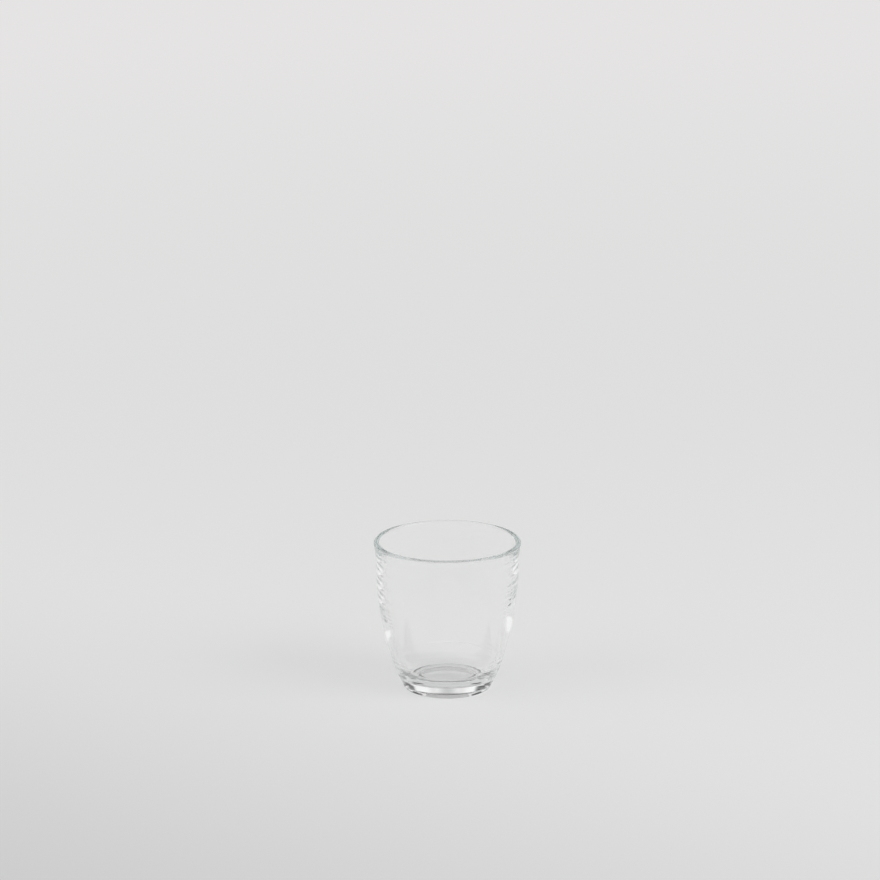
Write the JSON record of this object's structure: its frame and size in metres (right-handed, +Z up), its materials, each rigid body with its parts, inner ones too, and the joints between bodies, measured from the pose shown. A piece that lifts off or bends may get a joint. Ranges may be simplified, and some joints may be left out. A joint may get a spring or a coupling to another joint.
{
  "type": "drinking glass",
  "caption": "Clear glass tumbler with a barrel-curved bowl, a flared and rounded lip, a thick floor and a tapered foot, for cold or hot drinks.",
  "frame": {"origin": "on the axis of the glass, on the plane that the foot stands on", "axes": "+Z up along the axis of the glass, towards the lip; X and Y are free, because the glass is a body of revolution"},
  "size_m": [0.076, 0.076, 0.0785],
  "materials": {
    "clear_glass": "clear pressed soda-lime glass, fire-polished, faintly green where it is seen edge-on"
  },
  "bodies": {
    "root": {"bowl_wall": "clear_glass", "base": "clear_glass"}
  },
  "joints": []
}
